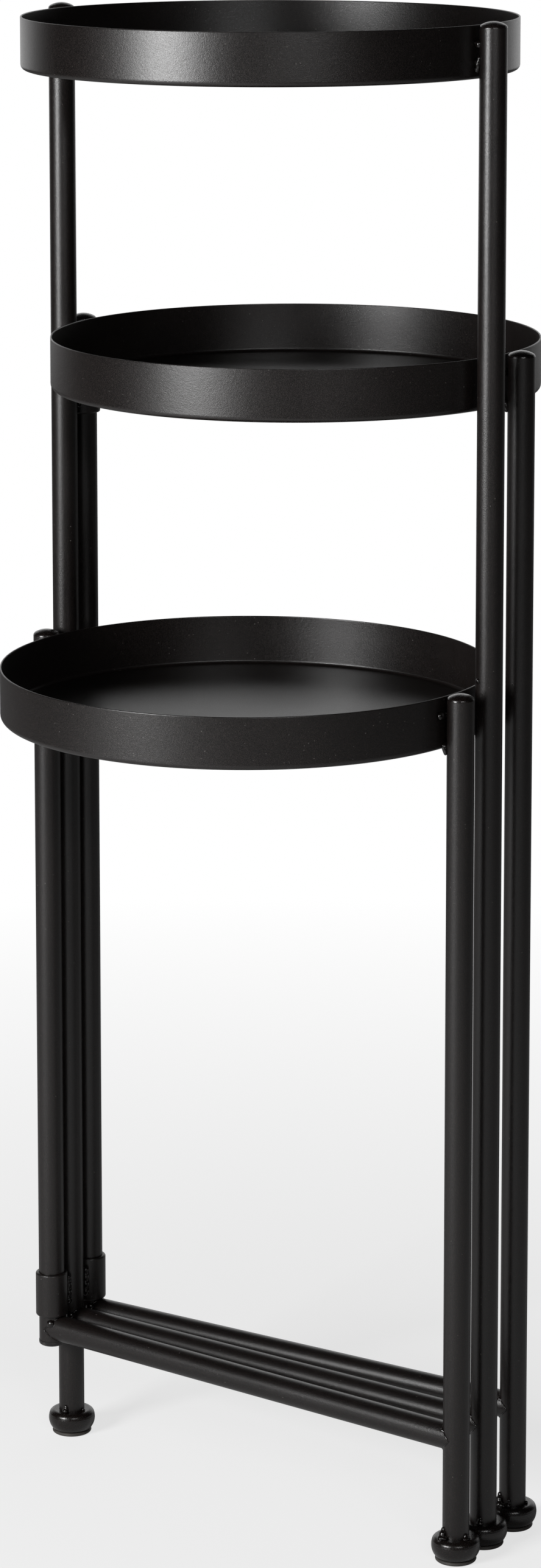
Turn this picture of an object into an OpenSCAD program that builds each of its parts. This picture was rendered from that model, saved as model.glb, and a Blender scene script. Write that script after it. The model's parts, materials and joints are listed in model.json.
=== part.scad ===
// Folding plant stand with three round trays, folded flat.
// The tall frame stands on the X axis with its hub leg at -X. The front frame lies on its -Y side and the
// rear frame on its +Y side. Each of them turns on its own left post, in sleeves on the hub leg.
// The origin is on the floor under the middle of the whole stand, and +Z is up.

/* [Tubes] */
// Outside diameter of every post and rail
tube_d = 16; // [13:0.5:22]
// Wall thickness of the tube
tube_wall = 1.2; // [0.8:0.1:2]

/* [Trays] */
// Outside diameter of a tray
tray_d = 293; // [220:1:400]
// Height of a tray's rim
rim_h = 31; // [20:0.5:50]
// Thickness of the tray's sheet
sheet = 1; // [0.6:0.1:2]
// Outside radius of the bend between the floor and the rim
corner_r = 3; // [2.2:0.1:8]
// Gap between a rim and its posts, bridged by welds
tray_gap = 0.7; // [0.5:0.1:4]

/* [Heights] */
// Top of the low tray's rim above the floor
low_rim_z = 521; // [300:1:700]
// Step from one tray up to the next
tray_step = 192; // [100:1:300]
// Height of a post's top above its tray's rim
cap_rise = 2.2; // [0.5:0.1:8]
// Centre of the cross rails above the floor
rail_z = 75; // [60:1:180]

/* [Hinges] */
// Length of a hinge sleeve
sleeve_h = 28; // [15:1:60]
// Wall thickness of a hinge sleeve
sleeve_wall = 1.9; // [1:0.1:3]
// Radius of the rounded outer edges of a sleeve's ends
sleeve_edge_r = 1.2; // [0.4:0.1:1.4]
// Radial clearance of a hinge post in its sleeves
run_fit = 0.1; // [0.05:0.01:0.1]
// Gap between a sleeve and the hub leg, bridged by welds
sleeve_gap = 1.6; // [0.3:0.1:2.2]
// Gap between the end of a sleeve and the tray or rail beside it
end_play = 0.3; // [0.2:0.1:1]

/* [Feet] */
// Largest diameter of a turned foot
foot_d = 29.2; // [27:0.2:40]
// Height of a turned foot
foot_h = 11.7; // [10:0.1:16]
// Radius of the foot's bulging side, in profile
belly_r = 10; // [9:0.2:14]
// Thickness of a foot under the end of its post
foot_floor = 6; // [3:0.5:8]
// Gap between the feet of the tall and the front frame when the stand is folded
front_foot_gap = 0.3; // [0.3:0.1:3]
// The same for the rear frame, which rests a little open
rear_foot_gap = 3.8; // [0.3:0.1:8]
// How far a glide is set in from the foot's edge
glide_inset = 2.3; // [1:0.1:5]
// Thickness of a glide's disc
glide_h = 2.2; // [2:0.1:6]
// Shadow gap between a glide's disc and the foot
glide_gap = 0.8; // [0.1:0.1:1]
// How far the collar between a glide's disc and the foot is set in from the disc's edge
collar_inset = 1.8; // [1.5:0.1:4]
// Diameter of a glide's stem
stem_d = 6; // [4:0.5:8]

/* [Plugs and caps] */
// Radius of the crown of a post's domed cap
crown_r = 14; // [12:0.5:30]
// Radius of the edge of a domed cap
cap_edge_r = 2.4; // [1:0.1:4]
// Length of a cap or plug inside its tube
plug_l = 9; // [5:0.5:15]
// Thickness of an end plug's lip
lip_h = 3; // [2:0.1:6]

/* [Welds] */
// Radius of the beads between a tray and its posts
tray_bead_r = 2.6; // [1.5:0.1:4]
// Length of the straight part of such a bead
tray_bead_l = 9; // [2:0.2:12]
// Drops of the top tray's beads below its rim, as shares of the rim's height
top_bead_drops = [0.34, 0.74];
// The same for the lower trays' beads on their hinge posts
hinge_bead_drops = [0.34, 0.85];
// The same for the lower trays' beads on their other posts
free_bead_drops = [0.34, 0.98];
// Radius of the beads between a sleeve and the hub leg
sleeve_bead_r = 2.4; // [1.5:0.1:3]
// Radius of the blobs at the ends of a rail
rail_bead_r = 2; // [1.2:0.1:2.4]
// Radius of the tacks between a post and its foot
tack_r = 2.5; // [1.5:0.1:3]
// Length of the straight part of the longer tacks
tack_l = 3; // [1:0.2:5]
// Radius of the small bead on the tall post
dot_r = 1.8; // [1:0.1:3]
// Gap left where a weld, cap or foot meets a tube
seat = 0.05; // [0.02:0.01:0.1]

/* [Hidden] */
$fn = 96;
tube_r = tube_d / 2;
bore_r = tube_r - tube_wall;
tray_r = tray_d / 2;
foot_r = foot_d / 2;
glide_r = foot_r - glide_inset;
collar_r = glide_r - collar_inset;
stem_r = stem_d / 2;

// half the distance between the two posts of a frame
half_w = tray_r + tray_gap + tube_r;
post_pitch = 2 * half_w;

sleeve_bore_r = tube_r + run_fit;
sleeve_r = sleeve_bore_r + sleeve_wall;
// the hinge axes stand this far in front of and behind the hub leg
hinge_pitch = tube_r + sleeve_gap + sleeve_r;
// the feet keep the side frames a little splayed when the stand is folded
front_splay = asin((foot_d + front_foot_gap - hinge_pitch) / post_pitch);
rear_splay = asin((foot_d + rear_foot_gap - hinge_pitch) / post_pitch);
// brings the middle of the folded stand over the origin
centre_y = (front_foot_gap - rear_foot_gap) / 4;

mid_rim_z = low_rim_z + tray_step;
top_rim_z = mid_rim_z + tray_step;

rail_top_z = rail_z + tube_r;
rail_bottom_z = rail_z - tube_r;
lower_sleeve_z = rail_top_z + end_play;

foot_z = glide_h + glide_gap;
foot_top_z = foot_z + foot_h;
post_floor_z = foot_z + foot_floor;
// height of the foot's widest place above its underside, as a share of the foot's height
belly_share = 0.54;
belly_z = foot_z + belly_share * foot_h;
// radius of the rounded shoulder, as a share of the foot's width outside the post
shoulder_share = 0.51;
shoulder_r = shoulder_share * (foot_r - tube_r);
shoulder_z = foot_top_z - shoulder_r;
// the shoulder's arc in profile starts this far past the side's arc
shoulder_step = 4;

// the crown of a cap meets its rounded edge tangentially
cap_edge_x = tube_r - cap_edge_r;
crown_drop = sqrt(pow(crown_r - cap_edge_r, 2) - pow(cap_edge_x, 2));
crown_angle = atan2(crown_drop, cap_edge_x);
cap_h = crown_r - crown_drop;

skirt_r = bore_r - seat;
skirt_wall = 1.5;
lip_r = tube_r + 0.2;
lip_edge_r = 1.6;
foot_edge = 0.3;

// the upright beads on a sleeve: how far off the hub leg's middle, and how much of the sleeve they run along
bead_offset_share = 0.62;
bead_run_share = 0.7;
sleeve_bead_x = bead_offset_share * tube_r;
sleeve_bead_l = bead_run_share * sleeve_h - 2 * sleeve_bead_r;

// how far a tack's middle stands off the post, as a share of its radius
tack_offset_share = 0.6;
tack_x = tube_r + tack_offset_share * tack_r;
// length of the straight part of the shorter tacks, as a share of the longer ones'
short_tack_share = 0.2;
short_tack_l = short_tack_share * tack_l;

// the small bead on the tall post: its height above the low rim and its angle round the post
dot_rise = 5.3;
dot_z = low_rim_z + dot_rise;
dot_angle = 250;

// how far a cutting solid reaches past what it cuts
past = 1;

FRONT = -1;
REAR = 1;
// angles round a rail's end, from the top of the rail, where the blobs of weld sit
RAIL_BEAD_ANGLES = [50, 130, 230, 310];
// angles round its post of each foot's long tacks, then of its short ones
HUB_TACKS = [[], [280, 4]];
TALL_TACKS = [[], [290, 110]];
FRONT_TACKS = [[247], [348]];
REAR_TACKS = [[245], [283, 15]];

STEEL = "#1c1c1d";
SLEEVE = "#1f1f20";
WELD = "#262627";
GLIDE = "#3b3835";
PLUG = "#242424";

// points of an arc about [x, z], from angle a to angle b
function arc(x, z, r, a, b, steps = 8) =
    [for (i = [0:steps]) [x + r * cos(a + (b - a) * i / steps), z + r * sin(a + (b - a) * i / steps)]];

// a place in the tall frame, measured from the hub leg
module tall_place() {
    translate([-half_w, centre_y, 0]) children();
}

// a place in the front or rear frame, measured from that frame's hinge post
module side_place(side) {
    turn = side == FRONT ? -front_splay : rear_splay;
    tall_place() translate([0, side * hinge_pitch, 0]) rotate([0, 0, turn]) children();
}

// an upright tube between two heights
module upright(bottom_z, top_z) {
    translate([0, 0, bottom_z]) difference() {
        cylinder(r = tube_r, h = top_z - bottom_z);
        translate([0, 0, -past]) cylinder(r = bore_r, h = top_z - bottom_z + 2 * past);
    }
}

// the two posts of a frame, as solids a little oversize, for cutting what meets them
module post_cutters() {
    for (x = [0, post_pitch]) translate([x, 0, 0]) cylinder(r = tube_r + seat, h = top_rim_z);
}

// a cross rail with its ends coped round both posts
module rail() {
    difference() {
        translate([0, 0, rail_z]) rotate([0, 90, 0]) difference() {
            cylinder(r = tube_r, h = post_pitch);
            translate([0, 0, -past]) cylinder(r = bore_r, h = post_pitch + 2 * past);
        }
        post_cutters();
    }
}

// a round tray bent up from sheet, with the top of its rim at rim_z
module tray(rim_z) {
    inner_r = corner_r - sheet;
    floor_z = rim_z - rim_h;
    translate([half_w, 0, floor_z]) rotate_extrude($fn = 180) polygon(concat(
        [[0, 0]],
        arc(tray_r - corner_r, corner_r, corner_r, -90, 0),
        [[tray_r, rim_h - sheet / 2]],
        arc(tray_r - sheet / 2, rim_h - sheet / 2, sheet / 2, 0, 180, 6),
        arc(tray_r - corner_r, corner_r, inner_r, 0, -90),
        [[0, sheet]]
    ));
}

// a domed cap on a post whose tray has its rim at rim_z
module cap(rim_z) {
    translate([0, 0, rim_z + cap_rise - cap_h]) rotate_extrude() polygon(concat(
        [[0, seat]],
        [[skirt_r - skirt_wall, seat], [skirt_r - skirt_wall, -plug_l], [skirt_r, -plug_l], [skirt_r, seat]],
        [[tube_r, seat]],
        arc(cap_edge_x, 0, cap_edge_r, 1, crown_angle),
        arc(0, -crown_drop, crown_r, crown_angle, 90)
    ));
}

// the height at which a post's tube ends under its cap
function post_top(rim_z) = rim_z + cap_rise - cap_h;

// a turned foot, bored for its post above and for the glide's stem below
module foot() {
    belly_x = foot_r - belly_r;
    low_angle = asin((foot_z + foot_edge - belly_z) / belly_r);
    low_x = belly_x + belly_r * cos(low_angle);
    shoulder_angle = asin((shoulder_z - belly_z) / (belly_r - shoulder_r));
    shoulder_x = belly_x + (belly_r - shoulder_r) * cos(shoulder_angle);
    rotate_extrude() polygon(concat(
        [[stem_r + seat, foot_z], [low_x - foot_edge, foot_z]],
        arc(belly_x, belly_z, belly_r, low_angle, shoulder_angle),
        arc(shoulder_x, shoulder_z, shoulder_r, shoulder_angle + shoulder_step, 90),
        [[tube_r + seat, foot_top_z], [tube_r + seat, post_floor_z], [stem_r + seat, post_floor_z]]
    ));
}

// a plastic glide: a disc on the floor, a collar under the foot and a stem in it
module glide() {
    edge_r = glide_h / 2;
    rotate_extrude() polygon(concat(
        [[0, 0]],
        arc(glide_r - edge_r, edge_r, edge_r, -90, 70, 6),
        [[collar_r, glide_h], [collar_r, foot_z - seat], [stem_r, foot_z - seat]],
        [[stem_r, post_floor_z - seat], [0, post_floor_z - seat]]
    ));
}

// a lipped plug in the open lower end of a hinge post
module end_plug() {
    translate([0, 0, rail_bottom_z - seat]) rotate_extrude() polygon(concat(
        [[0, -lip_h]],
        arc(lip_r - lip_edge_r, lip_edge_r - lip_h, lip_edge_r, -90, 0, 4),
        [[lip_r, 0], [skirt_r, 0], [skirt_r, plug_l], [skirt_r - skirt_wall, plug_l]],
        [[skirt_r - skirt_wall, 0], [0, 0]]
    ));
}

// a bead of weld with round ends, along Z
module bead(r, length) {
    rotate_extrude($fn = 48)
        polygon(concat(arc(0, -length / 2, r, -90, 0, 6), arc(0, length / 2, r, 0, 90, 6)));
}

// the beads between a tray and both of its posts, at shares of the rim's height below its top
module tray_beads(rim_z, left_drops, right_drops) {
    bead_x = tube_r + tray_gap / 2;
    difference() {
        for (place = [[bead_x, left_drops], [post_pitch - bead_x, right_drops]], drop = place[1])
            translate([place[0], 0, rim_z - drop * rim_h]) rotate([90, 0, 0]) bead(tray_bead_r, tray_bead_l);
        post_cutters();
        translate([half_w, 0, rim_z - rim_h]) rotate_extrude($fn = 180) polygon(concat(
            [[0, -seat]],
            arc(tray_r - corner_r, corner_r, corner_r + seat, -90, 0),
            [[tray_r + seat, rim_h], [0, rim_h]]
        ));
    }
}

// the blobs of weld where a rail meets its posts
module rail_beads() {
    difference() {
        for (a = RAIL_BEAD_ANGLES) {
            y = tube_r * sin(a);
            x = sqrt(tube_r * tube_r - y * y);
            for (place = [x, post_pitch - x])
                translate([place, y, rail_z + tube_r * cos(a)]) sphere(r = rail_bead_r, $fn = 32);
        }
        post_cutters();
        translate([0, 0, rail_z]) rotate([0, 90, 0]) cylinder(r = tube_r + seat, h = post_pitch);
    }
}

// the tacks of weld between a post and its foot, at the angles of its long and its short ones
module tacks(angles) {
    difference() {
        for (kind = [[angles[0], tack_l], [angles[1], short_tack_l]], a = kind[0])
            rotate([0, 0, a]) translate([tack_x, 0, foot_top_z]) bead(tack_r, kind[1]);
        cylinder(r = tube_r + seat, h = rail_z);
        translate([0, 0, seat]) foot();
    }
}

// a hinge sleeve from bottom_z up, on the hub leg's front or rear side
module sleeve(side, bottom_z) {
    edge_x = sleeve_r - sleeve_edge_r;
    tall_place() translate([0, side * hinge_pitch, bottom_z]) rotate_extrude() polygon(concat(
        [[sleeve_bore_r, 0]],
        arc(edge_x, sleeve_edge_r, sleeve_edge_r, -90, 0, 5),
        arc(edge_x, sleeve_h - sleeve_edge_r, sleeve_edge_r, 0, 90, 5),
        [[sleeve_bore_r, sleeve_h]]
    ));
}

// the bottom of the upper sleeve, which ends just under the tray with its rim at rim_z
function upper_sleeve_z(rim_z) = rim_z - rim_h - end_play - sleeve_h;

// the two upright beads between one sleeve and the hub leg
module sleeve_beads(side, bottom_z) {
    bead_y = tube_r + sleeve_gap / 2;
    tall_place() translate([0, 0, bottom_z]) difference() {
        for (x = [-sleeve_bead_x, sleeve_bead_x])
            translate([x, side * bead_y, sleeve_h / 2]) bead(sleeve_bead_r, sleeve_bead_l);
        cylinder(r = tube_r + seat, h = sleeve_h);
        translate([0, side * hinge_pitch, 0]) cylinder(r = sleeve_r + seat, h = sleeve_h);
    }
}

module hub_leg() { color(STEEL) tall_place() upright(post_floor_z + seat, post_top(top_rim_z)); }

module tall_post() {
    color(STEEL) tall_place() translate([post_pitch, 0, 0]) upright(post_floor_z + seat, post_top(top_rim_z));
}

module tall_rail() { color(STEEL) tall_place() rail(); }

module top_tray() { color(STEEL) tall_place() tray(top_rim_z); }

module hub_leg_cap() { color(STEEL) tall_place() cap(top_rim_z); }

module tall_post_cap() { color(STEEL) tall_place() translate([post_pitch, 0, 0]) cap(top_rim_z); }

module hub_foot() { color(STEEL) tall_place() foot(); }

module tall_foot() { color(STEEL) tall_place() translate([post_pitch, 0, 0]) foot(); }

module hub_glide() { color(GLIDE) tall_place() glide(); }

module tall_glide() { color(GLIDE) tall_place() translate([post_pitch, 0, 0]) glide(); }

module front_lower_sleeve() { color(SLEEVE) sleeve(FRONT, lower_sleeve_z); }

module front_upper_sleeve() { color(SLEEVE) sleeve(FRONT, upper_sleeve_z(low_rim_z)); }

module rear_lower_sleeve() { color(SLEEVE) sleeve(REAR, lower_sleeve_z); }

module rear_upper_sleeve() { color(SLEEVE) sleeve(REAR, upper_sleeve_z(mid_rim_z)); }

module sleeve_welds() {
    color(WELD) {
        for (side = [FRONT, REAR]) sleeve_beads(side, lower_sleeve_z);
        sleeve_beads(FRONT, upper_sleeve_z(low_rim_z));
        sleeve_beads(REAR, upper_sleeve_z(mid_rim_z));
    }
}

module top_tray_welds() { color(WELD) tall_place() tray_beads(top_rim_z, top_bead_drops, top_bead_drops); }

module tall_rail_welds() { color(WELD) tall_place() rail_beads(); }

module tall_foot_welds() {
    color(WELD) tall_place() {
        tacks(HUB_TACKS);
        translate([post_pitch, 0, 0]) tacks(TALL_TACKS);
    }
}

module tall_post_bead() {
    color(WELD) tall_place() translate([post_pitch, 0, 0]) difference() {
        rotate([0, 0, dot_angle]) translate([tube_r, 0, dot_z]) sphere(r = dot_r, $fn = 32);
        cylinder(r = tube_r + seat, h = top_rim_z);
    }
}

// the parts that the front and rear frames share
module hinge_post(side, rim_z) { color(STEEL) side_place(side) upright(rail_bottom_z, post_top(rim_z)); }

module free_post(side, rim_z) {
    color(STEEL) side_place(side) translate([post_pitch, 0, 0]) upright(post_floor_z + seat, post_top(rim_z));
}

module side_rail(side) { color(STEEL) side_place(side) rail(); }

module side_tray(side, rim_z) { color(STEEL) side_place(side) tray(rim_z); }

module hinge_cap(side, rim_z) { color(STEEL) side_place(side) cap(rim_z); }

module free_cap(side, rim_z) { color(STEEL) side_place(side) translate([post_pitch, 0, 0]) cap(rim_z); }

module side_plug(side) { color(PLUG) side_place(side) end_plug(); }

module side_foot(side) { color(STEEL) side_place(side) translate([post_pitch, 0, 0]) foot(); }

module side_glide(side) { color(GLIDE) side_place(side) translate([post_pitch, 0, 0]) glide(); }

module side_tray_welds(side, rim_z) {
    color(WELD) side_place(side) tray_beads(rim_z, hinge_bead_drops, free_bead_drops);
}

module side_rail_welds(side) { color(WELD) side_place(side) rail_beads(); }

module side_foot_welds(side) {
    color(WELD) side_place(side) translate([post_pitch, 0, 0]) tacks(side == FRONT ? FRONT_TACKS : REAR_TACKS);
}

module front_hinge_post() { hinge_post(FRONT, low_rim_z); }
module front_post() { free_post(FRONT, low_rim_z); }
module front_rail() { side_rail(FRONT); }
module low_tray() { side_tray(FRONT, low_rim_z); }
module front_hinge_cap() { hinge_cap(FRONT, low_rim_z); }
module front_post_cap() { free_cap(FRONT, low_rim_z); }
module front_end_plug() { side_plug(FRONT); }
module front_foot() { side_foot(FRONT); }
module front_glide() { side_glide(FRONT); }
module low_tray_welds() { side_tray_welds(FRONT, low_rim_z); }
module front_rail_welds() { side_rail_welds(FRONT); }
module front_foot_welds() { side_foot_welds(FRONT); }

module rear_hinge_post() { hinge_post(REAR, mid_rim_z); }
module rear_post() { free_post(REAR, mid_rim_z); }
module rear_rail() { side_rail(REAR); }
module middle_tray() { side_tray(REAR, mid_rim_z); }
module rear_hinge_cap() { hinge_cap(REAR, mid_rim_z); }
module rear_post_cap() { free_cap(REAR, mid_rim_z); }
module rear_end_plug() { side_plug(REAR); }
module rear_foot() { side_foot(REAR); }
module rear_glide() { side_glide(REAR); }
module middle_tray_welds() { side_tray_welds(REAR, mid_rim_z); }
module rear_rail_welds() { side_rail_welds(REAR); }
module rear_foot_welds() { side_foot_welds(REAR); }

hub_leg();
tall_post();
tall_rail();
top_tray();
hub_leg_cap();
tall_post_cap();
hub_foot();
tall_foot();
hub_glide();
tall_glide();
front_lower_sleeve();
front_upper_sleeve();
rear_lower_sleeve();
rear_upper_sleeve();
sleeve_welds();
top_tray_welds();
tall_rail_welds();
tall_foot_welds();
tall_post_bead();
front_hinge_post();
front_post();
front_rail();
low_tray();
front_hinge_cap();
front_post_cap();
front_end_plug();
front_foot();
front_glide();
low_tray_welds();
front_rail_welds();
front_foot_welds();
rear_hinge_post();
rear_post();
rear_rail();
middle_tray();
rear_hinge_cap();
rear_post_cap();
rear_end_plug();
rear_foot();
rear_glide();
middle_tray_welds();
rear_rail_welds();
rear_foot_welds();
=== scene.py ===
"""Looks of the folding plant stand: painted steel, glides and plugs, weld beads, soft studio light."""

import json
import logging
import math
from abc import ABC, abstractmethod
from dataclasses import dataclass, field
from enum import Enum, IntEnum

import bpy
from mathutils import Matrix, Vector


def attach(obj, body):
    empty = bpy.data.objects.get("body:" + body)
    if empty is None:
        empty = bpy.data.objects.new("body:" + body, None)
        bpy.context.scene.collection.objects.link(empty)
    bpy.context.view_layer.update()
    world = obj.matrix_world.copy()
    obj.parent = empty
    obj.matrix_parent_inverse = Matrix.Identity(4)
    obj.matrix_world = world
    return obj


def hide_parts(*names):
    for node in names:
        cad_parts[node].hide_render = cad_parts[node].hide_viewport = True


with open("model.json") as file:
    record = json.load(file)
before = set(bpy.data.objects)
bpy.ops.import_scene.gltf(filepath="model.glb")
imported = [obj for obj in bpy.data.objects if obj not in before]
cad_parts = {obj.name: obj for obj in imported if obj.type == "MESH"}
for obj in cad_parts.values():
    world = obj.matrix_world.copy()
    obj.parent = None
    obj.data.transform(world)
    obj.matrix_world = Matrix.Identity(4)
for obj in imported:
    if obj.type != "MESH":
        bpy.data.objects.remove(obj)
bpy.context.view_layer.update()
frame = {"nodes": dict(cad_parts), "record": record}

log = logging.getLogger("plant_stand")

Triple = tuple[float, float, float]
Span = tuple[float, float]

MM = 0.001
HALF_TURN = Matrix.Rotation(math.pi, 4, "Z")
WHITE: Triple = (1.0, 1.0, 1.0)

# Sizes of the stand that several classes share, in millimetres
TUBE_R = 8.0
LOW_RIM_Z = 521.0
MIDDLE_RIM_Z = 713.0
TOP_RIM_Z = 905.0


class Slot(Enum):
    """Material slots of the record."""

    TUBE = "painted_tube"
    TRAY = "painted_tray"
    CAP = "painted_cap"
    FOOT = "painted_foot"
    SLEEVE = "painted_sleeve"
    WELD = "painted_weld"
    GLIDE = "glide_plastic"
    PLUG = "plug_plastic"


class Side(IntEnum):
    """Where a frame stands: in front of the hub leg, on it or behind it."""

    FRONT = -1
    HUB = 0
    REAR = 1


class Channel:
    """A number on its way through a node tree, so that arithmetic on it adds Math nodes."""

    def __init__(self, graph: "Graph", socket: bpy.types.NodeSocket) -> None:
        """Wrap an output socket.

        Args:
            graph: the node tree that holds the socket.
            socket: the output socket to carry on from.
        """
        self.graph = graph
        self.socket = socket

    def _math(self, operation: str, first: "Channel | float", second: "Channel | float",
              clamp: bool = False) -> "Channel":
        """Add one Math node.

        Args:
            operation: the Math node's operation.
            first: its first input.
            second: its second input.
            clamp: whether the result is held between 0 and 1.

        Returns:
            The node's result.
        """
        settings = {"operation": operation, "use_clamp": clamp}
        return self.graph.channel(self.graph.node("Math", settings, socket_0=first, socket_1=second), 0)

    def __add__(self, other: "Channel | float") -> "Channel":
        """Sum of this and other."""
        return self._math("ADD", self, other)

    __radd__ = __add__

    def __sub__(self, other: "Channel | float") -> "Channel":
        """This less other."""
        return self._math("SUBTRACT", self, other)

    def __rsub__(self, other: float) -> "Channel":
        """Other less this."""
        return self._math("SUBTRACT", other, self)

    def __mul__(self, other: "Channel | float") -> "Channel":
        """Product of this and other."""
        return self._math("MULTIPLY", self, other)

    __rmul__ = __mul__

    def power(self, exponent: float) -> "Channel":
        """This raised to exponent."""
        return self._math("POWER", self, exponent)

    def held(self) -> "Channel":
        """This held between 0 and 1."""
        return self._math("ADD", self, 0.0, clamp=True)

    def over(self, low: float, high: float) -> "Channel":
        """This as a share of the way from low to high, held between 0 and 1."""
        return ((self - low) * (1.0 / (high - low))).held()


class Graph:
    """A node tree under construction."""

    def __init__(self, tree: bpy.types.NodeTree) -> None:
        """Start from an empty tree.

        Args:
            tree: the tree, whose own nodes are removed.
        """
        self.tree = tree
        self.tree.nodes.clear()

    def node(self, kind: str, settings: dict | None = None, **inputs: object) -> bpy.types.Node:
        """Add a node of any kind.

        Args:
            kind: the node's type name, without the ShaderNode in front.
            settings: attributes, which are set first.
            inputs: values or links of its sockets. Spaces in a socket's name are written as underscores, and
                a socket that shares its name with another is given as socket_ and its number.

        Returns:
            The node.
        """
        made = self.tree.nodes.new("ShaderNode" + kind)
        for key, value in (settings or {}).items():
            setattr(made, key, value)
        for key, value in inputs.items():
            number = key.removeprefix("socket_")
            place = made.inputs[int(number) if number.isdigit() else key.replace("_", " ")]
            if isinstance(value, Channel):
                value = value.socket
            if isinstance(value, bpy.types.NodeSocket):
                self.tree.links.new(value, place)
            else:
                place.default_value = (*value, 1.0) if place.type == "RGBA" else value
        return made

    def channel(self, node: bpy.types.Node, output: str | int) -> Channel:
        """One output of a node, ready for arithmetic."""
        return Channel(self, node.outputs[output])


@dataclass(frozen=True)
class Noise:
    """Smooth noise: how many of its blotches fit in a metre, its finer octaves, and the share of each."""

    per_metre: float
    detail: float = 2.0
    roughness: float = 0.5


class Shader(Graph):
    """One material under construction."""

    def __init__(self, name: str) -> None:
        """Start an empty material.

        Args:
            name: the material's name.
        """
        self.material = bpy.data.materials.new(name)
        self.material.use_nodes = True
        super().__init__(self.material.node_tree)
        self.places: bpy.types.NodeSocket | None = None

    def place(self) -> bpy.types.NodeSocket:
        """The point's place on the object.

        Returns:
            A vector's socket, in metres.
        """
        if self.places is None:
            self.places = self.node("TexCoord").outputs["Object"]
        return self.places

    def noise(self, kind: Noise) -> Channel:
        """Smooth noise over the object.

        Args:
            kind: the noise's scale and detail.

        Returns:
            Noise from 0 to 1.
        """
        made = self.node("TexNoise", {"normalize": True}, Vector=self.place(), Scale=kind.per_metre,
                         Detail=kind.detail, Roughness=kind.roughness)
        return self.channel(made, "Fac")

    def specks(self, per_metre: float, share: float, edge: Span = (0.12, 0.2), step: float = 0.001) -> Channel:
        """Small round specks, a share of the cells holding one.

        Args:
            per_metre: cells to a metre.
            share: the share of the cells that hold a speck, from 0 to 1.
            edge: where a speck starts to fade and where it ends, as shares of a cell.
            step: how sharply the cells that hold a speck are told from the others.

        Returns:
            1 in a speck and 0 elsewhere.
        """
        cells = self.node("TexVoronoi", {"feature": "F1"}, Vector=self.place(), Scale=per_metre, Randomness=1.0)
        parts = self.node("SeparateColor", Color=cells.outputs["Color"])
        near = 1.0 - self.channel(cells, "Distance").over(*edge)
        return near * self.channel(parts, "Red").over(1.0 - share, 1.0 - share + step)

    def blend(self, factor: Channel, low: Triple | bpy.types.NodeSocket,
              high: Triple | bpy.types.NodeSocket) -> bpy.types.NodeSocket:
        """A colour between two others.

        Args:
            factor: 0 gives low and 1 gives high.
            low: the first colour, or its socket.
            high: the second colour, or its socket.

        Returns:
            The colour's socket.
        """
        made = self.node("Mix", {"data_type": "RGBA"}, socket_0=factor, socket_6=low, socket_7=high)
        return made.outputs[2]

    def bump(self, height: Channel, distance: float, **below: bpy.types.NodeSocket) -> bpy.types.NodeSocket:
        """A bumped normal.

        Args:
            height: the height, from 0 to 1.
            distance: how high 1 stands, in metres.
            below: a bumped normal to build on, as Normal.

        Returns:
            The normal's socket.
        """
        return self.node("Bump", Height=height, Distance=distance, Strength=1.0, **below).outputs["Normal"]

    def finish(self, surface: bpy.types.Node) -> bpy.types.Material:
        """Join the surface shader to the output and return the material."""
        self.node("OutputMaterial", Surface=surface.outputs[0])
        return self.material


def tinted(colour: Triple, gain: float) -> Triple:
    """A colour with each part multiplied by gain."""
    return tuple(gain * part for part in colour)


@dataclass(frozen=True)
class PowderCoat:
    """Satin black powder coat on steel, with orange peel, a fine grain and a little dust.

    A height is in metres, a range is the part of a noise that a blend runs over, a gain is how much lighter
    the colour gets there, and dust is the share of the dust cells that hold a speck.
    """

    colour: Triple = (0.0027, 0.0019, 0.0017)
    roughness: float = 0.36
    cloud: Noise = Noise(14.0, 3.0, 0.55)
    cloud_range: Span = (0.35, 0.7)
    cloud_gain: float = 1.6
    cloud_roughness: float = 0.1
    peel: Noise = Noise(620.0)
    peel_height: float = 0.00004
    grain: Noise = Noise(2100.0, 1.0, 0.6)
    grain_range: Span = (0.48, 0.75)
    grain_gain: float = 9.0
    grain_height: float = 0.00006
    grain_roughness: float = 0.25
    mottle: float = 0.6
    dust: float = 0.05
    dust_per_metre: float = 520.0
    dust_patch: Noise = Noise(30.0)
    dust_patch_range: Span = (0.4, 0.7)
    dust_cover: float = 0.35
    dust_colour: Triple = (0.3, 0.28, 0.26)
    dust_roughness: float = 0.3

    def make(self, name: str) -> bpy.types.Material:
        """Build the material.

        Args:
            name: the material's name.

        Returns:
            The finished material.
        """
        shader = Shader(name)
        cloud, peel, grain = (shader.noise(kind) for kind in (self.cloud, self.peel, self.grain))
        patches = shader.noise(self.dust_patch).over(*self.dust_patch_range)
        dust = shader.specks(self.dust_per_metre, self.dust) * patches
        colour = shader.blend(cloud.over(*self.cloud_range), self.colour, tinted(self.colour, self.cloud_gain))
        colour = shader.blend(self.mottle * grain.over(*self.grain_range), colour,
                              tinted(self.colour, self.grain_gain))
        colour = shader.blend(dust * self.dust_cover, colour, self.dust_colour)
        normal = shader.bump(grain, self.grain_height, Normal=shader.bump(peel, self.peel_height))
        rough = (self.roughness + self.cloud_roughness * (cloud - 0.5) + self.grain_roughness * (grain - 0.5)
                 + self.dust_roughness * dust)
        surface = shader.node("BsdfPrincipled", Base_Color=colour, Roughness=rough.held(), Normal=normal)
        return shader.finish(surface)


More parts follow.
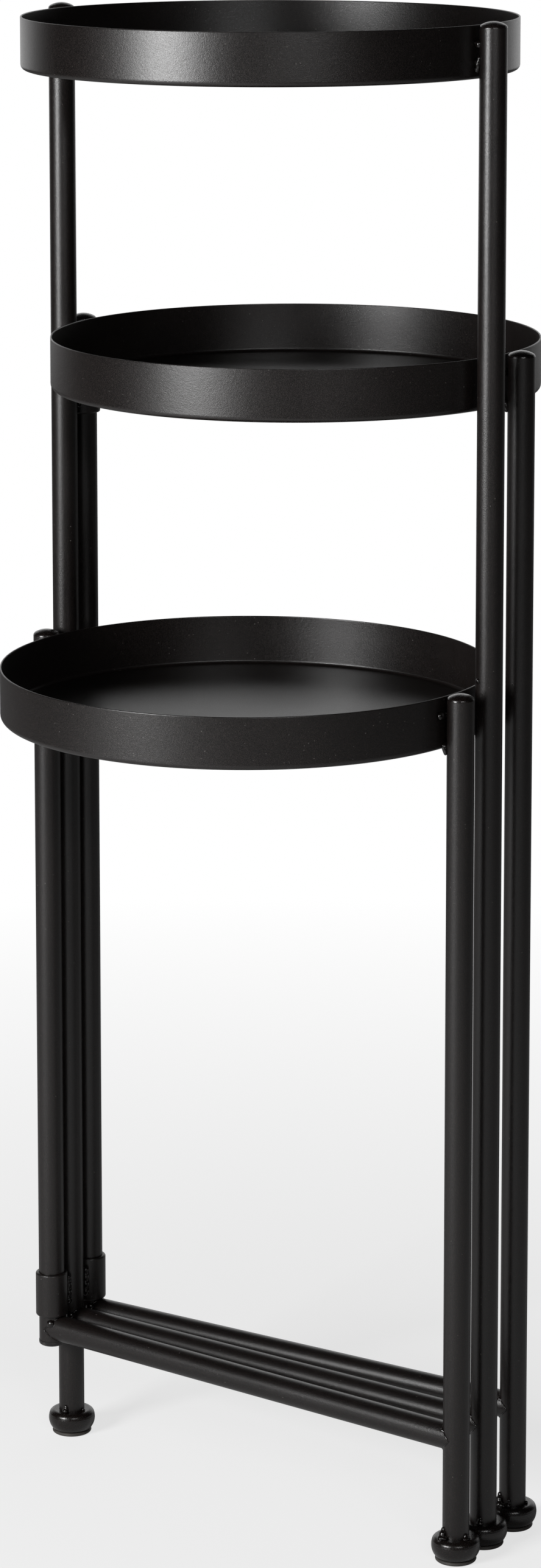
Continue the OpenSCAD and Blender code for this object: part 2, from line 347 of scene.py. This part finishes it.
@dataclass(frozen=True)
class MouldedPlastic:
    """Dull moulded plastic with a fine spark-eroded grain and a little rubbed dirt."""

    colour: Triple
    roughness: float = 0.6
    cloud: Noise = Noise(60.0, 3.0, 0.6)
    cloud_range: Span = (0.3, 0.7)
    cloud_gain: float = 0.7
    cloud_roughness: float = 0.15
    grain: Noise = Noise(2200.0, 1.0)
    grain_height: float = 0.00002
    dirt: Noise = Noise(180.0, 4.0, 0.65)
    dirt_range: Span = (0.5, 0.72)
    dirt_cover: float = 0.4
    dirt_colour: Triple = (0.11, 0.1, 0.09)
    dirt_roughness: float = 0.15

    def make(self, name: str) -> bpy.types.Material:
        """Build the material.

        Args:
            name: the material's name.

        Returns:
            The finished material.
        """
        shader = Shader(name)
        cloud, grain = shader.noise(self.cloud), shader.noise(self.grain)
        dirt = shader.noise(self.dirt).over(*self.dirt_range)
        colour = shader.blend(cloud.over(*self.cloud_range), self.colour, tinted(self.colour, self.cloud_gain))
        colour = shader.blend(dirt * self.dirt_cover, colour, self.dirt_colour)
        rough = self.roughness + self.cloud_roughness * (cloud - 0.5) + self.dirt_roughness * dirt
        surface = shader.node("BsdfPrincipled", Base_Color=colour, Roughness=rough.held(),
                              Normal=shader.bump(grain, self.grain_height))
        return shader.finish(surface)


FINISHES = {
    Slot.TUBE: PowderCoat(),
    Slot.TRAY: PowderCoat(roughness=0.34, peel=Noise(560.0), dust=0.1),
    Slot.CAP: PowderCoat(roughness=0.24, peel_height=0.00005),
    Slot.FOOT: PowderCoat(roughness=0.25, peel_height=0.00003),
    Slot.SLEEVE: PowderCoat(),
    Slot.WELD: PowderCoat(roughness=0.22, peel_height=0.00002, grain_height=0.00002, mottle=0.2),
    Slot.GLIDE: MouldedPlastic((0.045, 0.04, 0.036)),
    Slot.PLUG: MouldedPlastic((0.006, 0.005, 0.005), 0.38),
}


@dataclass(frozen=True)
class SoftBox:
    """One soft lamp. Lengths are in metres, and turn is in degrees to the right of the camera."""

    name: str
    turn: float
    distance: float
    height: float
    aim_z: float
    size: Span
    watts: float


@dataclass
class Studio:
    """Pale floor, white background, soft lamps and the camera. Angles are in degrees, lengths in metres.

    The sweep is a white patch low behind the stand, and room is the level of the rest. The sweep's edge and
    top say where it fades, as cosines from the way behind the stand and from straight up. The floor is
    white for the camera alone: by floor_white at the stand, and wholly at the end of floor_fade.
    """

    frame_px: tuple[int, int] = (888, 2576)
    sensor_mm: float = 36.0
    focal_px: float = 7397.3
    azimuth: float = 35.407
    elevation: float = 8.785
    roll: float = -0.024
    shift_px: float = -600.0
    position: Triple = (1.53278, -2.15709, 1.07426)
    clip: Span = (0.1, 100.0)
    room: float = 0.012
    sweep: float = 1.1
    sweep_edge: Span = (0.56, 0.92)
    sweep_top: Span = (0.4, 0.65)
    floor_radius: float = 6.0
    floor_corners: int = 96
    floor_drop: float = 0.0002
    floor_white: float = 0.7
    floor_fade: Span = (0.3, 1.4)
    paper: float = 0.86
    boxes: tuple[SoftBox, ...] = (
        SoftBox("key_box", -47.0, 2.0, 0.9, 0.6, (0.72, 0.62), 45.0),
        SoftBox("fill_box", 14.0, 2.2, 1.3, 0.4, (1.0, 0.2), 9.5),
    )

    def camera(self) -> None:
        """Set the camera where the photograph was taken."""
        azimuth, elevation, roll = (math.radians(a) for a in (self.azimuth, self.elevation, self.roll))
        ahead = Vector((-math.sin(azimuth) * math.cos(elevation), math.cos(azimuth) * math.cos(elevation),
                        -math.sin(elevation)))
        right = Vector((math.cos(azimuth), math.sin(azimuth), 0.0))
        up = right.cross(ahead)
        right, up = (math.cos(roll) * right + math.sin(roll) * up, math.cos(roll) * up - math.sin(roll) * right)
        data = bpy.data.cameras.new("camera")
        data.sensor_width = self.sensor_mm
        data.lens = self.sensor_mm * self.focal_px / max(self.frame_px)
        data.shift_y = self.shift_px / max(self.frame_px)
        data.clip_start, data.clip_end = self.clip
        camera = bpy.data.objects.new("camera", data)
        facing = Matrix((right, up, -ahead)).transposed().to_4x4()
        camera.matrix_world = Matrix.Translation(self.position) @ facing
        bpy.context.scene.collection.objects.link(camera)
        bpy.context.scene.camera = camera

    def lamp(self, box: SoftBox) -> None:
        """Hang one soft box.

        Args:
            box: the lamp's place, aim, size and power.
        """
        data = bpy.data.lights.new(box.name, "AREA")
        data.shape = "RECTANGLE"
        data.size, data.size_y = box.size
        data.energy = box.watts
        lamp = bpy.data.objects.new(box.name, data)
        angle = math.radians(self.azimuth - 90.0 + box.turn)
        lamp.location = (box.distance * math.cos(angle), box.distance * math.sin(angle), box.height)
        lamp.visible_camera = False
        lamp.rotation_mode = "QUATERNION"
        lamp.rotation_quaternion = (Vector((0.0, 0.0, box.aim_z)) - lamp.location).to_track_quat("-Z", "Y")
        bpy.context.scene.collection.objects.link(lamp)

    def world(self) -> None:
        """A dark room with a white sweep low behind the stand. The camera sees white all round."""
        world = bpy.data.worlds.new("surroundings")
        world.use_nodes = True
        graph = Graph(world.node_tree)
        direction = graph.node("TexCoord").outputs["Generated"]
        back = math.radians(self.azimuth + 90.0)
        behind = graph.node("VectorMath", {"operation": "DOT_PRODUCT"}, socket_0=direction,
                            socket_1=(math.cos(back), math.sin(back), 0.0))
        height = graph.channel(graph.node("SeparateXYZ", Vector=direction), "Z")
        low = 1.0 - height.over(*self.sweep_top)
        sweep = graph.channel(behind, "Value").over(*self.sweep_edge) * low
        seen = graph.channel(graph.node("LightPath"), "Is Camera Ray")
        lit = self.room + (self.sweep - self.room) * sweep
        background = graph.node("Background", Color=WHITE, Strength=lit + (1.0 - lit) * seen)
        graph.node("OutputWorld", Surface=background.outputs[0])
        bpy.context.scene.world = world

    def floor(self) -> None:
        """A pale floor that keeps the stand's shadow and fades into the background."""
        Bench.clear()
        bpy.ops.mesh.primitive_circle_add(vertices=self.floor_corners, radius=self.floor_radius,
                                          fill_type="NGON", location=(0.0, 0.0, -self.floor_drop))
        floor = bpy.context.object
        floor.name = "floor"
        shader = Shader("floor_paper")
        position = shader.node("SeparateXYZ", Vector=shader.place())
        x, y = (shader.channel(position, axis) for axis in "XY")
        away = (x * x + y * y).power(0.5).over(*self.floor_fade)
        white = self.floor_white + (1.0 - self.floor_white) * away
        seen = shader.channel(shader.node("LightPath"), "Is Camera Ray")
        paper = shader.node("BsdfDiffuse", Color=tinted(WHITE, self.paper))
        glow = shader.node("Emission", Color=WHITE, Strength=1.0)
        mix = shader.node("MixShader", socket_0=white * seen, socket_1=paper.outputs[0],
                          socket_2=glow.outputs[0])
        floor.data.materials.append(shader.finish(mix))

    def build(self) -> None:
        """Set up the whole studio."""
        self.camera()
        self.world()
        self.floor()
        for box in self.boxes:
            self.lamp(box)
        bpy.context.scene.view_settings.view_transform = "Standard"


@dataclass(frozen=True)
class Puddle:
    """One frozen puddle of weld metal, as an ellipsoid, in millimetres."""

    centre: Triple
    radii: Triple


class Bead(Enum):
    """The kinds of weld on the stand.

    Each is measured from the axis of the post it sits on, with +X away from that axis and Z about the bead's
    own height. On the right-hand posts, +Y is the side towards the viewer. The tacks are measured from the
    top of the foot, and a seam from its own middle.
    """

    TRAY_UPPER = "tray_upper"
    TRAY_LOWER = "tray_lower"
    RIM_BLOB = "rim_blob"
    RIM_FOOT = "rim_foot"
    HINGE_RIM = "hinge_rim"
    RAIL_LEFT = "rail_left"
    RAIL_RIGHT = "rail_right"
    SLEEVE_SEAM = "sleeve_seam"
    TEAR_TACK = "tear_tack"
    WIDE_TACK = "wide_tack"
    PATCH_TACK = "patch_tack"
    TALL_TACK = "tall_tack"
    SMALL_TACK = "small_tack"
    DOT = "dot"


Laid = list[tuple[Bead, Matrix]]


def saddle(radius: float, wobble: float = 0.3, waves: Span = (3.0, 7.0), lag: float = 0.7,
           top: float = math.inf, steps: int = 72) -> tuple[Puddle, ...]:
    """A run of puddles along the line where a rail is coped to its post.

    Args:
        radius: the puddles' mean radius, in millimetres.
        wobble: how much the radius varies, as a share.
        waves: how many slow and quick waves of the radius go round.
        lag: how far round the slow waves start, in radians.
        top: height that no puddle's middle passes, so that a sleeve above stays clear.
        steps: how many puddles there are.

    Returns:
        The puddles, closed into a ring.
    """
    made = []
    for step in range(steps):
        turn = math.radians(360.0 / steps * step)
        y, z = TUBE_R * math.sin(turn), TUBE_R * math.cos(turn)
        x = math.sqrt(max(TUBE_R * TUBE_R - y * y, 0.0))
        r = radius * (1.0 + wobble * math.sin(waves[0] * turn + lag) * math.cos(waves[1] * turn))
        made.append(Puddle((x, y, min(z, top)), (r, r, r)))
    return tuple(made)


def seam(radius: float = 1.9, wobble: float = 0.25, weave: float = 0.2, waves: Triple = (0.9, 0.7, 0.8),
         pitch: float = 0.65, count: int = 25) -> tuple[Puddle, ...]:
    """An upright run of puddles.

    Args:
        radius: the puddles' mean radius, in millimetres.
        wobble: how much the radius varies.
        weave: how far the run strays from its line.
        waves: how far the waves of x, y and the radius get from one puddle to the next, in radians.
        pitch: the step from one puddle to the next.
        count: how many puddles there are.

    Returns:
        The puddles, from the lowest up.
    """
    made = []
    for i in range(count):
        x, y = weave * math.sin(waves[0] * i), weave * math.cos(waves[1] * i)
        r = radius + wobble * math.sin(waves[2] * i)
        made.append(Puddle((x, y, pitch * (i - (count - 1) / 2)), (r, r, r)))
    return tuple(made)


PUDDLES = {
    Bead.TRAY_UPPER: (
        Puddle((7.95, 5.2, 0.3), (1.65, 2.2, 2.2)),
        Puddle((6.4, 5.7, -0.2), (2.2, 1.9, 2.5)),
        Puddle((7.6, 1.0, 0.0), (2.0, 4.6, 2.2)),
        Puddle((7.3, -4.8, 0.0), (2.3, 2.4, 2.4)),
    ),
    Bead.TRAY_LOWER: (
        Puddle((7.9, 5.1, 1.5), (1.7, 2.2, 2.6)),
        Puddle((6.7, 5.9, 0.8), (1.8, 1.7, 3.2)),
        Puddle((7.7, 5.3, -2.3), (1.9, 1.9, 2.1)),
        Puddle((5.8, 6.2, 3.8), (1.2, 1.1, 2.4)),
        Puddle((7.65, 0.5, 0.0), (1.95, 4.8, 3.4)),
        Puddle((7.4, -4.8, 0.2), (2.2, 2.3, 3.0)),
    ),
    Bead.RIM_BLOB: (
        Puddle((7.8, 8.1, 0.0), (1.8, 3.5, 2.8)),
        Puddle((8.1, 9.4, 0.9), (1.4, 1.9, 1.5)),
        Puddle((7.7, 3.0, 0.0), (1.9, 4.0, 2.2)),
        Puddle((7.7, -2.4, 0.0), (1.9, 4.0, 2.2)),
        Puddle((7.3, -5.4, 0.1), (2.3, 2.2, 2.4)),
    ),
    Bead.RIM_FOOT: (
        Puddle((7.9, 3.2, -0.4), (1.7, 4.2, 2.2)),
        Puddle((7.7, 5.2, -1.2), (1.8, 2.1, 2.2)),
        Puddle((7.2, 5.3, -2.6), (1.7, 1.8, 2.4)),
        Puddle((6.8, 5.4, -4.0), (1.4, 1.5, 2.3)),
        Puddle((7.8, -3.4, 0.0), (1.8, 3.6, 2.0)),
    ),
    Bead.HINGE_RIM: (
        Puddle((7.45, 4.9, 0.0), (2.15, 2.2, 2.4)),
        Puddle((7.7, 0.0, 0.1), (1.9, 5.2, 2.2)),
        Puddle((7.4, -4.9, -0.2), (2.2, 2.2, 2.3)),
    ),
    Bead.RAIL_LEFT: (
        *saddle(0.7, top=7.2),
        Puddle((4.4, -6.6, 4.2), (2.9, 2.3, 2.8)),
        Puddle((5.6, 6.0, 5.2), (1.5, 1.3, 1.4)),
        Puddle((5.6, 6.2, -5.0), (1.4, 1.3, 1.6)),
    ),
    Bead.RAIL_RIGHT: (
        *saddle(0.65),
        Puddle((6.1, 5.9, 5.0), (2.0, 1.2, 1.1)),
        Puddle((7.8, 5.9, 4.6), (1.2, 0.8, 0.7)),
        Puddle((5.6, -6.0, 5.2), (1.6, 1.3, 1.5)),
        Puddle((5.6, -6.2, -5.0), (1.5, 1.3, 1.5)),
    ),
    Bead.SLEEVE_SEAM: seam(),
    Bead.TEAR_TACK: (
        Puddle((8.3, -1.0, 4.2), (1.1, 1.7, 2.4)),
        Puddle((9.4, -0.2, 2.2), (1.9, 2.4, 2.6)),
        Puddle((10.8, 0.6, 0.6), (2.0, 2.4, 1.8)),
        Puddle((12.1, 1.3, -0.5), (1.5, 1.7, 1.2)),
        Puddle((9.2, 2.4, 0.6), (1.5, 1.8, 1.3)),
    ),
    Bead.WIDE_TACK: (
        Puddle((8.3, -1.6, 5.0), (1.1, 1.6, 2.6)),
        Puddle((9.3, -0.6, 2.8), (1.9, 2.4, 2.8)),
        Puddle((10.4, 1.0, 1.0), (2.1, 2.6, 1.9)),
        Puddle((9.6, 3.4, 0.7), (1.8, 2.0, 1.4)),
    ),
    Bead.PATCH_TACK: (
        Puddle((8.4, 0.5, 1.7), (1.0, 1.9, 1.9)),
        Puddle((9.3, -0.4, 0.5), (1.5, 2.4, 1.1)),
        Puddle((9.9, 1.7, 0.3), (1.0, 1.0, 0.8)),
    ),
    Bead.TALL_TACK: (
        Puddle((8.4, 0.1, 2.6), (1.0, 1.6, 2.3)),
        Puddle((9.2, 0.0, 1.0), (1.7, 2.0, 1.6)),
    ),
    Bead.SMALL_TACK: (
        Puddle((8.7, 0.0, 0.7), (1.1, 1.1, 1.1)),
        Puddle((8.9, 0.8, 0.4), (0.8, 0.8, 0.7)),
    ),
    Bead.DOT: (
        Puddle((8.0, 0.0, 0.0), (1.4, 1.8, 1.8)),
        Puddle((8.2, 0.5, 0.7), (1.2, 0.9, 0.8)),
    ),
}


class Bench:
    """Modelling steps that are shared by the pieces."""

    @staticmethod
    def clear() -> None:
        """Deselect everything."""
        bpy.ops.object.select_all(action="DESELECT")

    @staticmethod
    def pick(things: list[bpy.types.Object]) -> None:
        """Select these objects alone, and make the first one active.

        Args:
            things: the objects.
        """
        Bench.clear()
        for thing in things:
            thing.select_set(True)
        bpy.context.view_layer.objects.active = things[0]

    @staticmethod
    def modify(thing: bpy.types.Object, kind: str, **settings: object) -> None:
        """Add a modifier and apply it.

        Args:
            thing: the object.
            kind: the modifier's type.
            settings: its settings.
        """
        Bench.pick([thing])
        modifier = thing.modifiers.new(kind.lower(), kind)
        for key, value in settings.items():
            setattr(modifier, key, value)
        bpy.ops.object.modifier_apply(modifier=modifier.name)

    @staticmethod
    def join(things: list[bpy.types.Object], name: str) -> bpy.types.Object:
        """Join objects into one and set its place into its mesh.

        Args:
            things: the objects.
            name: the joined object's name.

        Returns:
            The joined object.
        """
        Bench.pick(things)
        bpy.ops.object.transform_apply(location=True, rotation=True, scale=True)
        if len(things) > 1:
            bpy.ops.object.join()
        joined = bpy.context.view_layer.objects.active
        joined.name = name
        return joined


@dataclass
class WeldShop:
    """Models each kind of bead once, in millimetres, and lays copies of it.

    The puddles are melted into one skin of the given voxel size, softened, rippled and settled.
    """

    paint: bpy.types.Material
    segments: int = 20
    rings: int = 12
    voxel: float = 0.32
    softening: int = 14
    ripple_pitch: float = 4.0
    ripple_height: float = 0.2
    settling: int = 2
    smoothing: float = 0.5
    models: dict[Bead, bpy.types.Object] = field(default_factory=dict)

    def __post_init__(self) -> None:
        """Make the ripple of the weld metal."""
        self.ripple = bpy.data.textures.new("weld_ripple", "CLOUDS")
        self.ripple.noise_scale = self.ripple_pitch

    def model(self, bead: Bead) -> bpy.types.Object:
        """The model of one kind of bead, made at its first use.

        Args:
            bead: the kind.

        Returns:
            The model, at the origin.
        """
        if bead not in self.models:
            puddles = []
            for puddle in PUDDLES[bead]:
                Bench.clear()
                bpy.ops.mesh.primitive_uv_sphere_add(segments=self.segments, ring_count=self.rings, radius=1.0,
                                                     location=puddle.centre, scale=puddle.radii)
                puddles.append(bpy.context.object)
            made = Bench.join(puddles, "model_" + bead.value)
            Bench.modify(made, "REMESH", mode="VOXEL", voxel_size=self.voxel)
            Bench.modify(made, "SMOOTH", factor=self.smoothing, iterations=self.softening)
            Bench.modify(made, "DISPLACE", texture=self.ripple, strength=self.ripple_height, mid_level=0.5)
            Bench.modify(made, "SMOOTH", factor=self.smoothing, iterations=self.settling)
            Bench.pick([made])
            bpy.ops.object.shade_smooth()
            made.data.materials.clear()
            made.data.materials.append(self.paint)
            self.models[bead] = made
        return self.models[bead]

    def lay(self, name: str, body: str, node: str, beads: Laid) -> None:
        """Lay copies of beads as one piece, in place of a CAD node.

        Args:
            name: the piece's name.
            body: the body it rides on.
            node: the CAD node that it stands for.
            beads: each bead's kind and its place in the stand, in millimetres.
        """
        copies = []
        for bead, place in beads:
            copy = self.model(bead).copy()
            copy.data = copy.data.copy()
            bpy.context.scene.collection.objects.link(copy)
            copy.matrix_world = Matrix.Scale(MM, 4) @ place
            copies.append(copy)
        piece = Bench.join(copies, name)
        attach(piece, body)
        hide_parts(node)
        log.info("%s: %d beads, %d faces", name, len(beads), len(piece.data.polygons))

    def clean_up(self) -> None:
        """Remove the models, which aren't part of the stand."""
        for model in self.models.values():
            bpy.data.objects.remove(model)


@dataclass(frozen=True)
class Tack:
    """One tack between a post and its foot. The angle is in degrees from the way the frame runs."""

    bead: Bead
    angle: float
    on_hub: bool = False


@dataclass
class LadderFrame(ABC):
    """One ladder frame: two posts, a low rail and a tray between them.

    Sizes are in millimetres and the splay is in degrees. A drop is a share of the rim's height below the
    rim. Beads are given with their places in the stand.
    """

    name: str
    tray: str
    rim_z: float
    tacks: tuple[Tack, ...]
    side: Side = Side.HUB
    splay: float = 0.0
    half_w: float = 155.2
    hub_y: float = -0.875
    hinge_pitch: float = 19.6
    rim_h: float = 31.0
    rail_z: float = 75.0
    foot_top_z: float = 14.7

    @property
    def body(self) -> str:
        """The body that the frame's pieces ride on."""
        return f"{self.name}_frame"

    def left(self, z: float, turn: float = 0.0) -> Matrix:
        """A place on the left post's axis, facing the tray, turned about the post by some degrees."""
        foot = Matrix.Translation((-self.half_w, self.hub_y + self.side * self.hinge_pitch, z))
        return foot @ Matrix.Rotation(math.radians(self.side * self.splay + turn), 4, "Z")

    def right(self, z: float, turn: float = 0.0) -> Matrix:
        """A place on the right post's axis, facing the tray, turned about the post by some degrees."""
        across = Matrix.Translation((2.0 * self.half_w, 0.0, 0.0))
        return self.left(z) @ across @ HALF_TURN @ Matrix.Rotation(math.radians(turn), 4, "Z")

    def drop(self, share: float) -> float:
        """The height at a share of the rim's height below its top."""
        return self.rim_z - share * self.rim_h

    @abstractmethod
    def tray_beads(self) -> Laid:
        """The welds between the tray and its posts."""

    def rail_beads(self) -> Laid:
        """The welds at the two ends of the rail."""
        return [(Bead.RAIL_LEFT, self.left(self.rail_z)), (Bead.RAIL_RIGHT, self.right(self.rail_z))]

    def foot_beads(self) -> Laid:
        """The tacks between the posts and their feet.

        Returns:
            Each tack's bead and its place.
        """
        made = []
        for tack in self.tacks:
            place = (self.left(self.foot_top_z, tack.angle) if tack.on_hub
                     else self.right(self.foot_top_z, tack.angle - 180.0))
            made.append((tack.bead, place))
        return made

    def build(self, shop: WeldShop) -> None:
        """Lay this frame's welds.

        Args:
            shop: the shop that models them.
        """
        shop.lay(f"{self.tray}_tray_beads", self.body, f"{self.tray}_tray_welds", self.tray_beads())
        shop.lay(f"{self.name}_rail_beads", self.body, f"{self.name}_rail_welds", self.rail_beads())
        shop.lay(f"{self.name}_foot_beads", self.body, f"{self.name}_foot_welds", self.foot_beads())


@dataclass
class TallFrame(LadderFrame):
    """The fixed frame, with the top tray, the hub leg and the hinge sleeves.

    Each upper sleeve is given by its side and by the rim of the tray it stands under.
    """

    upper_drop: float = 0.34
    lower_drop: float = 0.74
    sleeve_h: float = 28.0
    sleeve_gap: float = 1.6
    end_play: float = 0.3
    seam_offset: float = 0.62 * TUBE_R
    upper_sleeves: tuple[tuple[Side, float], ...] = ((Side.FRONT, LOW_RIM_Z), (Side.REAR, MIDDLE_RIM_Z))
    dot_z: float = 526.3
    dot_angle: float = 70.0

    def tray_beads(self) -> Laid:
        """The two beads on each post, at the top tray's rim."""
        kinds = ((Bead.TRAY_UPPER, self.upper_drop), (Bead.TRAY_LOWER, self.lower_drop))
        return [(bead, place(self.drop(share))) for place in (self.left, self.right) for bead, share in kinds]

    def seams(self) -> Laid:
        """The upright seams between the sleeves and the hub leg.

        Returns:
            Each seam's bead and its place.
        """
        lower_z = self.rail_z + TUBE_R + self.end_play
        upper_drop = self.rim_h + self.end_play + self.sleeve_h
        sleeves = [(Side.FRONT, lower_z), (Side.REAR, lower_z)]
        sleeves += [(side, rim_z - upper_drop) for side, rim_z in self.upper_sleeves]
        made = []
        for side, z in sleeves:
            y = self.hub_y + side * (TUBE_R + 0.5 * self.sleeve_gap)
            for x in (-self.seam_offset, self.seam_offset):
                place = Matrix.Translation((x - self.half_w, y, z + 0.5 * self.sleeve_h))
                made.append((Bead.SLEEVE_SEAM, place))
        return made

    def build(self, shop: WeldShop) -> None:
        """Lay this frame's welds, with the sleeves' seams and the small bead on the tall post.

        Args:
            shop: the shop that models them.
        """
        super().build(shop)
        shop.lay("sleeve_seams", self.body, "sleeve_welds", self.seams())
        shop.lay("post_dot", self.body, "tall_post_bead", [(Bead.DOT, self.right(self.dot_z, self.dot_angle))])


@dataclass
class SideFrame(LadderFrame):
    """A frame that swings on its left post, with the low or the middle tray."""

    upper_drop: float = 0.34
    hinge_lower_drop: float = 0.85
    rim_foot_drop: float = 0.9

    def tray_beads(self) -> Laid:
        """The welds between the swinging tray and its posts.

        Returns:
            Two beads on each post. The right post's lower one runs to the rim's lower edge.
        """
        return [(Bead.HINGE_RIM, self.left(self.drop(self.upper_drop))),
                (Bead.HINGE_RIM, self.left(self.drop(self.hinge_lower_drop))),
                (Bead.RIM_BLOB, self.right(self.drop(self.upper_drop))),
                (Bead.RIM_FOOT, self.right(self.drop(self.rim_foot_drop)))]


class Stand:
    """The whole plant stand."""

    def __init__(self) -> None:
        """Mix the finishes and set out the three frames."""
        self.materials = {slot: finish.make(slot.value) for slot, finish in FINISHES.items()}
        self.frames = [
            TallFrame("tall", "top", TOP_RIM_Z,
                      (Tack(Bead.TALL_TACK, 280.0, on_hub=True), Tack(Bead.SMALL_TACK, 4.0, on_hub=True),
                       Tack(Bead.TALL_TACK, 290.0), Tack(Bead.TALL_TACK, 110.0))),
            SideFrame("front", "low", LOW_RIM_Z,
                      (Tack(Bead.TEAR_TACK, 247.0), Tack(Bead.PATCH_TACK, 348.0)), Side.FRONT, 1.8277),
            SideFrame("rear", "middle", MIDDLE_RIM_Z,
                      (Tack(Bead.WIDE_TACK, 245.0), Tack(Bead.TALL_TACK, 283.0), Tack(Bead.SMALL_TACK, 15.0)),
                      Side.REAR, 2.4742),
        ]

    def dress(self) -> None:
        """Give every CAD node the finish of its slot."""
        for part in frame["record"]["subparts"]:
            for place in frame["nodes"][part["node"]].material_slots:
                place.material = self.materials[Slot(part["material_slot"])]
            log.info("%s: %s", part["node"], part["material_slot"])

    def build(self) -> None:
        """Dress the nodes and lay the welds."""
        self.dress()
        shop = WeldShop(self.materials[Slot.WELD])
        for ladder in self.frames:
            ladder.build(shop)
        shop.clean_up()


def main() -> None:
    """Build the looks in order."""
    logging.basicConfig(level=logging.INFO, format="%(name)s: %(message)s")
    Stand().build()
    Studio().build()


if __name__ == "__main__":
    main()
